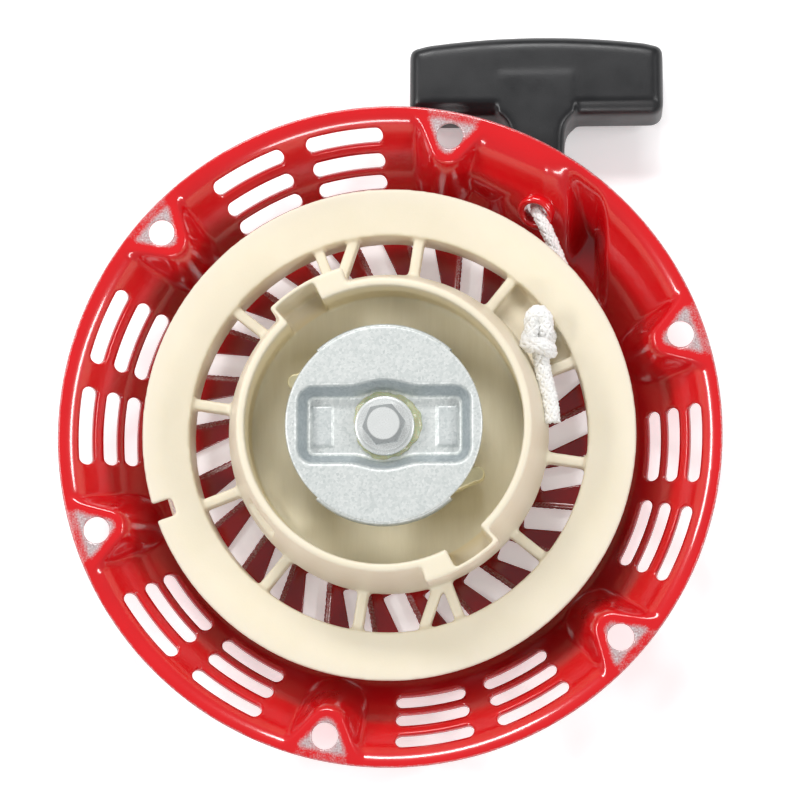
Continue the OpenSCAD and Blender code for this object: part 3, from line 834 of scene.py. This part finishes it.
# %% Bolt, washer and the grease that squeezes out from under them
def hexagon_head():
    """Rings from the top disc out to the hexagon, down to the flange and in to the shank."""
    flat, disc, top, seat, turn = 6.3, 5.2, 25.5, 20.7, math.radians(8)
    rings, steps = [], 120
    for share in (0.0, 0.5, 1.0):
        rings.append(lambda a, s=share: (disc * max(s, 0.02), top))

    def hexed(a):
        return flat / math.cos((a - turn) % (math.pi / 3) - math.pi / 6)

    rings.append(lambda a: (disc + 0.15, top - 0.12))
    rings.append(lambda a: (hexed(a) - 0.1, top - 0.2 - (hexed(a) - disc) * 0.62))
    rings.append(lambda a: (hexed(a), top - 0.4 - (hexed(a) - disc) * 0.62))
    rings.append(lambda a: (hexed(a), seat + 0.25))
    rings.append(lambda a: (hexed(a) + 0.25, seat))
    for r, z in ((8.3, 20.5), (8.55, 20.3), (8.6, 20.0), (8.6, 19.5), (8.4, 19.3), (4.0, 19.3),
                 (4.0, 10.0), (3.6, 9.6), (0.1, 9.6)):
        rings.append(lambda a, r=r, z=z: (r, z))
    points, faces = [], []
    for ring in rings:
        for j in range(steps):
            a = 2 * math.pi * j / steps
            r, z = ring(a)
            points.append((r * MM * math.cos(a), r * MM * math.sin(a), z * MM))
    for i in range(len(rings) - 1):
        for j in range(steps):
            k = (j + 1) % steps
            faces.append((i * steps + j, (i + 1) * steps + j, (i + 1) * steps + k, i * steps + k))
    faces.append(tuple(range(steps)))
    faces.append(tuple((len(rings) - 1) * steps + j for j in range(steps - 1, -1, -1)))
    piece = new_piece("bolt_head", points, faces)
    piece.data.set_sharp_from_angle(angle=math.radians(22))
    return piece


bolt = hexagon_head()
dress(bolt, bolt_steel)
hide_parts("center_bolt")
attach(bolt, "root")

washer = turned("bolt_washer_ring", [(4.2, 17.4), (9.6, 17.3), (10, 17.7), (10, 18.9),
                                     (9.6, 19.3), (8.8, 19.3), (4.2, 19.3)], 96)
dress(washer, bolt_steel)
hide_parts("bolt_washer")
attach(washer, "root")


def grease_ring():
    turns, ring, inner_r, floor_z = 120, 10, 9.9, 17.0
    points, faces = [], []
    for j in range(turns):
        a = 2 * math.pi * j / turns
        out = (11.4 + 0.8 * math.sin(a + 1) + 0.5 * math.sin(3 * a + 1)
               + 0.25 * math.sin(8 * a) * math.sin(a) + 0.15 * math.sin(17 * a + 2))
        tall = 0.9 + 0.35 * math.sin(5 * a + 0.6) + 0.2 * math.sin(11 * a)
        for k in range(ring):
            t = k / (ring - 1)
            r = inner_r + (out - inner_r) * t
            points.append((r * MM * math.cos(a), r * MM * math.sin(a),
                           (floor_z + 0.05 + tall * math.sqrt(max(0, 1 - t * t))) * MM))
        for r in (out, inner_r):
            points.append((r * MM * math.cos(a), r * MM * math.sin(a), floor_z * MM))
    n = ring + 2
    for j in range(turns):
        k = (j + 1) % turns
        for i in range(n):
            m = (i + 1) % n
            faces.append((j * n + i, k * n + i, k * n + m, j * n + m))
    return new_piece("washer_grease", points, faces)


smear = grease_ring()
dress(smear, grease)
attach(smear, "plate")

# %% Carried nodes: springs, post and backing plate keep their exact shapes
for node, finish in (("center_post", post_steel), ("post_plate", post_steel),
                     ("recoil_spring", spring_steel), ("friction_spring", spring_steel),
                     ("pawl_spring_a", spring_steel), ("pawl_spring_b", spring_steel),
                     ("grip_washer", bolt_steel)):
    dress(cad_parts[node], finish)
    print(node, "is", finish.name)


# %% [markdown]
# ## The rope
# The rope is a 5 mm braid of sixteen strands over a grey core. One strand is a grey tracer.
# Its strands are real geometry here, because the light between them is what makes a braid.

# %% Rope in and out of the eyelet
guide_r = math.hypot(GUIDE[0], GUIDE[1])
lead_r = 76.45
lead_a = math.atan2(GUIDE[1], GUIDE[0]) - math.acos(lead_r / guide_r)
lead_points = [(lead_r * math.cos(lead_a), lead_r * math.sin(lead_a), -9.6),
               (68.6, 34.5, -10), (65.8, 42, -10.6), (63, 49.4, -11.2), (60.2, 56.8, -11.8),
               (57.4, 64.2, -12.4), (54.8, 70.6, -12.9), (52.8, 75, -13.4), (51.6, 77.5, -14.3),
               (51, 79.1, -15.8), (51, 80.4, -17.3), (51, 81.6, -18.7)]
last_turn = []
for degrees in range(-300, 0, 12):
    a = lead_a + math.radians(degrees)
    last_turn.append((lead_r * math.cos(a), lead_r * math.sin(a), -9.6))
lead = braid("rope_to_eyelet", last_turn + lead_points)
dress(lead, cord_white, cord_grey)
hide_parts("rope_lead")
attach(lead, "root")

outer_points = [(51, 82.0, -19.0), (51, 83.4, -19.7), (51, 85.6, -18.8), (51, 87.8, -17.4),
                (51, 91, -17.3), (51, 100, -17.9), (51, 110, -18.6), (51, 120, -19.3),
                (51, 127.6, -19.8)]
outer = braid("rope_to_grip", outer_points)
dress(outer, cord_white, cord_grey)
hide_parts("rope_outer")
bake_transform(outer)

# %% Knot and tail on the reel
KNOT = np.array([51.5, 33.5, 4.6])
knot_turns = [(3.4, 0.5, -12), (3.2, -0.8, -6), (2.8, -2.8, -1.8), (2.4, 0, 0.2), (2.3, 3, 1.0),
              (1.9, 5.0, 1.8), (0, 6.1, 2.5), (-2.0, 5.0, 2.1), (-2.2, 2.6, 1.4),
              (-2.6, -0.6, 1.0), (-3.7, -3.2, 1.0), (-3.3, -4.9, 3.0), (-0.6, -5.2, 4.4),
              (2.2, -5.8, 3.6), (3.7, -6.9, 1.4), (2.9, -6.6, -0.9), (1.2, -4.8, -1.6),
              (-0.2, -4.9, -0.8), (0.4, -6.6, -0.2)]
tail_points = [(52.1, 25.6, 4.6), (52.6, 22, 4.4), (53.4, 18, 3.9), (54.4, 14, 3.6),
               (55.2, 10, 3.5), (55.7, 6, 3.4), (55.9, 2.6, 3.3)]
knot = braid("rope_knot_and_tail", [tuple(KNOT + p) for p in knot_turns] + tail_points, 3.0)
dress(knot, cord_white, cord_grey)
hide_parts("rope_knot", "rope_tail")
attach(knot, "reel")


# %% Rope in the groove: two turns side by side, with the last turn over them
WOUND_R, LOW_TURN_Z, HIGH_TURN_Z = 71.6, -11.7, -6.9
wound_points = []
for degrees in range(0, 661, 12):
    share = min(1, max(0, (degrees - 300) / 60))
    wound_points.append((WOUND_R * math.cos(math.radians(degrees)),
                         WOUND_R * math.sin(math.radians(degrees)),
                         LOW_TURN_Z + (HIGH_TURN_Z - LOW_TURN_Z) * share * share * (3 - 2 * share)))
wound = braid("rope_on_reel", wound_points, 2.0)
dress(wound, cord_white, cord_grey)
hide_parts("rope_coil")
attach(wound, "reel")


# %% [markdown]
# ## The grip
# The T-grip is moulded in black plastic, with a crowned outer edge and a stem that flows into
# the bar. The bar and the stem are drawn apart as stacked outlines, because each has its own
# rounding. Joining them into one skin and relaxing it gives the flow between the two.

# %% Grip: two prisms with rounded corners, joined, relaxed and bored
BAR_AT, BAR_TILT = (51.0, 126.0, -19.8), math.radians(-4)


def rounded_stack(outline, levels, inset, ease_low=1.0):
    """Layers of one outline, in mm, drawn in by inset(level), more on the -Y side."""
    ring = np.array(outline)
    ahead, behind = np.roll(ring, -1, axis=0), np.roll(ring, 1, axis=0)
    along = ahead - behind
    along /= np.linalg.norm(along, axis=1)[:, None]
    outwards = np.column_stack([along[:, 1], -along[:, 0]])
    share = np.where(outwards[:, 1] < -0.3, ease_low, 1.0)[:, None]
    points, faces = [], []
    for level in levels:
        for x, y in ring - inset(level) * share * outwards:
            points.append((x, y, level))
    n = len(ring)
    for i in range(len(levels) - 1):
        for j in range(n):
            k = (j + 1) % n
            faces.append((i * n + j, i * n + k, (i + 1) * n + k, (i + 1) * n + j))
    faces.append(tuple(range(n - 1, -1, -1)))
    faces.append(tuple((len(levels) - 1) * n + j for j in range(n)))
    return points, faces


def corner_arc(cx, cy, radius, start, steps=8):
    return [(cx + radius * math.cos(math.radians(start + 90 * i / steps)),
             cy + radius * math.sin(math.radians(start + 90 * i / steps)))
            for i in range(steps + 1)]


def grip_body():
    half_l, half_w, base_w, half_t, crown = 44.2, 13.9, 14.6, 11.0, 3.4
    crowned = [(x, half_w - crown * (x / half_l) ** 2) for x in range(38, -39, -4)]
    low = half_w - crown - 3
    bar = (corner_arc(half_l - 4, 4 - base_w, 4, 270) + corner_arc(half_l - 3, low, 3, 0, 5)
           + crowned + corner_arc(3 - half_l, low, 3, 90, 5)
           + corner_arc(4 - half_l, 4 - base_w, 4, 180))
    ease = 4.5
    levels = [half_t * math.sin(math.radians(a)) for a in range(-90, 91, 6)]

    def drawn_in(z):
        return ease - math.sqrt(max(0, ease ** 2 - max(0, abs(z) - half_t + ease) ** 2))

    points, faces = rounded_stack(bar, levels, drawn_in, 2.1)
    stem = (corner_arc(6.8, 8.2, 3, 0) + corner_arc(-6.8, 8.2, 3, 90)
            + corner_arc(-6.8, -8.2, 3, 180) + corner_arc(6.8, -8.2, 3, 270))
    flare = {-37: 5.2, -34.5: 3.4, -32.6: 0.6, -30: 0.2, -22: 0, -19: -0.4, -17: -1.3,
             -15.5: -2.6, -14.2: -4.2, 0: -4.2}
    stem_points, stem_faces = rounded_stack(stem, list(flare), flare.get)
    stem_points = [(x, min(11.2, max(-11.2, z)), y) for x, z, y in stem_points]
    start = len(points)
    points += [(x, y, z) for x, z, y in stem_points]
    faces += [tuple(start + v for v in reversed(f)) for f in stem_faces]
    piece = new_piece("grip_moulding", np.array(points) * MM, faces)
    cells = piece.modifiers.new("cells", "REMESH")
    cells.mode = "VOXEL"
    cells.voxel_size = 0.6 * MM
    rounder = piece.modifiers.new("rounder", "SMOOTH")
    rounder.factor = 0.5
    rounder.iterations = 22
    return apply_modifiers(piece)


def bore(piece, radius, y0, y1):
    made = bmesh.new()
    bmesh.ops.create_cone(made, cap_ends=True, segments=48, radius1=radius * MM,
                          radius2=radius * MM, depth=(y1 - y0) * MM,
                          matrix=Matrix.Translation((0, (y0 + y1) / 2 * MM, 0))
                          @ Matrix.Rotation(math.pi / 2, 4, "X"))
    drill = bpy.data.objects.new("drill", bpy.data.meshes.new("drill"))
    bpy.context.scene.collection.objects.link(drill)
    made.to_mesh(drill.data)
    made.free()
    cut = piece.modifiers.new("cut", "BOOLEAN")
    cut.operation = "DIFFERENCE"
    cut.object = drill
    apply_modifiers(piece)
    bpy.data.objects.remove(drill)


grip = grip_body()
bore(grip, 3.2, -40, 4)
bore(grip, 8.0, 1.5, 22)
grip.data.set_sharp_from_angle(angle=math.radians(40))
grip.data.transform(Matrix.Translation(Vector(BAR_AT) * MM) @ Matrix.Rotation(BAR_TILT, 4, "X"))
print("grip", len(grip.data.polygons), "faces")
dress(grip, grip_black)
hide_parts("grip")
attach(grip, "grip")

knot_ball = moulded("grip_knot", ["rope_grip_knot"], 0.5, 2)
dress(knot_ball, cord_white)
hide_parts("rope_grip_knot")
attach(knot_ball, "grip")

# %% Sizes
print("CAD box", cad_box)
